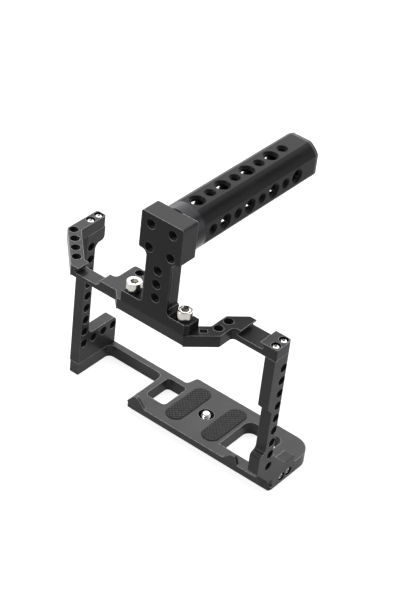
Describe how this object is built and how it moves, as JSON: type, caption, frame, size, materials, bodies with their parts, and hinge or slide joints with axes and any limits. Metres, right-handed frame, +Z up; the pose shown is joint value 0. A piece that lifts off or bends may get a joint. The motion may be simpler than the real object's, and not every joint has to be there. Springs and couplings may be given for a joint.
{
  "type": "camera cage",
  "caption": "Machined frame that clamps round a small camera, with accessory holes, a captive camera screw below and a tube handle on a T-shaped bracket above.",
  "frame": {"origin": "the camera screw's axis where it leaves the base plate's top face", "axes": "+X along the base plate towards the right side frame, +Y to the cage's back, +Z up along the camera screw"},
  "size_m": [0.174, 0.139, 0.1976],
  "materials": {
    "frame_metal": "bead blasted, dark grey anodised",
    "handle_metal": "satin, black anodised",
    "screw_steel": "polished stainless steel",
    "dark_steel": "black oxide",
    "pad_rubber": "moulded diamond knurl",
    "plug_plastic": "fine moulded matt"
  },
  "bodies": {
    "cage": {"base_plate": "frame_metal", "left_grip_pad": "pad_rubber", "right_grip_pad": "pad_rubber", "screw_circlip": "dark_steel", "left_upright": "frame_metal", "right_upright": "frame_metal", "top_rail": "frame_metal", "handle_bracket": "frame_metal", "left_top_screws": "screw_steel", "right_top_screws": "screw_steel", "left_foot_screws": "screw_steel", "right_foot_screws": "screw_steel", "handle_tube": "handle_metal", "handle_bolt": "dark_steel", "handle_end_plug": "plug_plastic"},
    "screw_carrier": {"screw_washer": "screw_steel"},
    "screw": {"camera_screw": "screw_steel"},
    "pull_ring": {"screw_ring": "screw_steel"},
    "left_clamp": {"left_clamp_screw": "screw_steel"},
    "right_clamp": {"right_clamp_screw": "screw_steel"}
  },
  "joints": [
    {"name": "screw_lift", "type": "slide", "parent": "cage", "child": "screw_carrier", "axis": [0, 0, 1], "range_m": [0, 0.0036]},
    {"name": "screw_turn", "type": "hinge", "parent": "screw_carrier", "child": "screw", "pos_m": [0, 0, 0], "axis": [0, 0, 1], "continuous": true},
    {"name": "ring_fold", "type": "hinge", "parent": "screw", "child": "pull_ring", "pos_m": [0, 0, -0.0086], "axis": [1, 0, 0], "range_deg": [0, 180]},
    {"name": "left_clamp_turn", "type": "hinge", "parent": "cage", "child": "left_clamp", "pos_m": [-0.0243, -0.0608, 0.1225], "axis": [0, 0, 1], "continuous": true},
    {"name": "right_clamp_turn", "type": "hinge", "parent": "cage", "child": "right_clamp", "pos_m": [0.0158, -0.0608, 0.1225], "axis": [0, 0, 1], "continuous": true}
  ]
}
